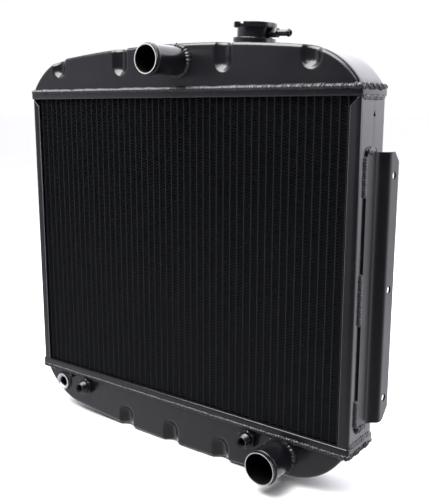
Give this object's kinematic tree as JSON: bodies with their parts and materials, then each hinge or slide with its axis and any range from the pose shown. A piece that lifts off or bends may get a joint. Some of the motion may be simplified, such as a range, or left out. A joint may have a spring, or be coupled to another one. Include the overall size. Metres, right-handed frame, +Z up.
{
  "type": "car radiator",
  "caption": "Downflow car radiator with a finned tube core between two curved tanks, front hose necks, filler neck and drilled side brackets, coated black.",
  "frame": {"origin": "under the middle of the bounding box, at the height of the lowest line of the bottom tank", "axes": "+X towards the end that carries the outlet neck, +Y towards the back (the hose necks point along -Y), +Z up"},
  "size_m": [0.5972, 0.142, 0.5971],
  "materials": {
    "coat_black": "satin black coating on aluminium",
    "weld_black": "coated weld bead, rippled",
    "core_black": "thin matt black coating on tubes and fins",
    "bare_metal": "machined, uncoated",
    "hidden_metal": "mill finish, inside the tank"
  },
  "bodies": {
    "root": {"bottom_tank": "coat_black", "bottom_tank_weld": "weld_black", "bracket_left": "coat_black", "bracket_right": "coat_black", "bracket_stitch_1_left": "weld_black", "bracket_stitch_1_right": "weld_black", "bracket_stitch_2_left": "weld_black", "bracket_stitch_2_right": "weld_black", "bracket_stitch_3_left": "weld_black", "bracket_stitch_3_right": "weld_black", "bracket_weld_low_left": "weld_black", "bracket_weld_low_right": "weld_black", "bracket_weld_top_left": "weld_black", "bracket_weld_top_right": "weld_black", "cooler_fitting_left": "coat_black", "cooler_fitting_right": "coat_black", "cooler_nut_left": "coat_black", "cooler_nut_right": "coat_black", "cooler_washer_left": "coat_black", "cooler_washer_right": "coat_black", "core": "core_black", "core_end_strip_left": "core_black", "core_end_strip_right": "core_black", "drain_bung": "bare_metal", "drain_bung_weld": "weld_black", "filler_neck": "coat_black", "inlet_neck": "coat_black", "inlet_weld": "weld_black", "lower_header": "coat_black", "lower_plate_weld_left": "weld_black", "lower_plate_weld_right": "weld_black", "oil_cooler": "hidden_metal", "outlet_neck": "coat_black", "outlet_weld": "weld_black", "overflow_nipple": "coat_black", "side_plate_left": "coat_black", "side_plate_right": "coat_black", "small_screw": "coat_black", "top_tank": "coat_black", "top_tank_weld": "weld_black", "upper_header": "coat_black", "upper_plate_weld_left": "weld_black", "upper_plate_weld_right": "weld_black"}
  },
  "joints": []
}
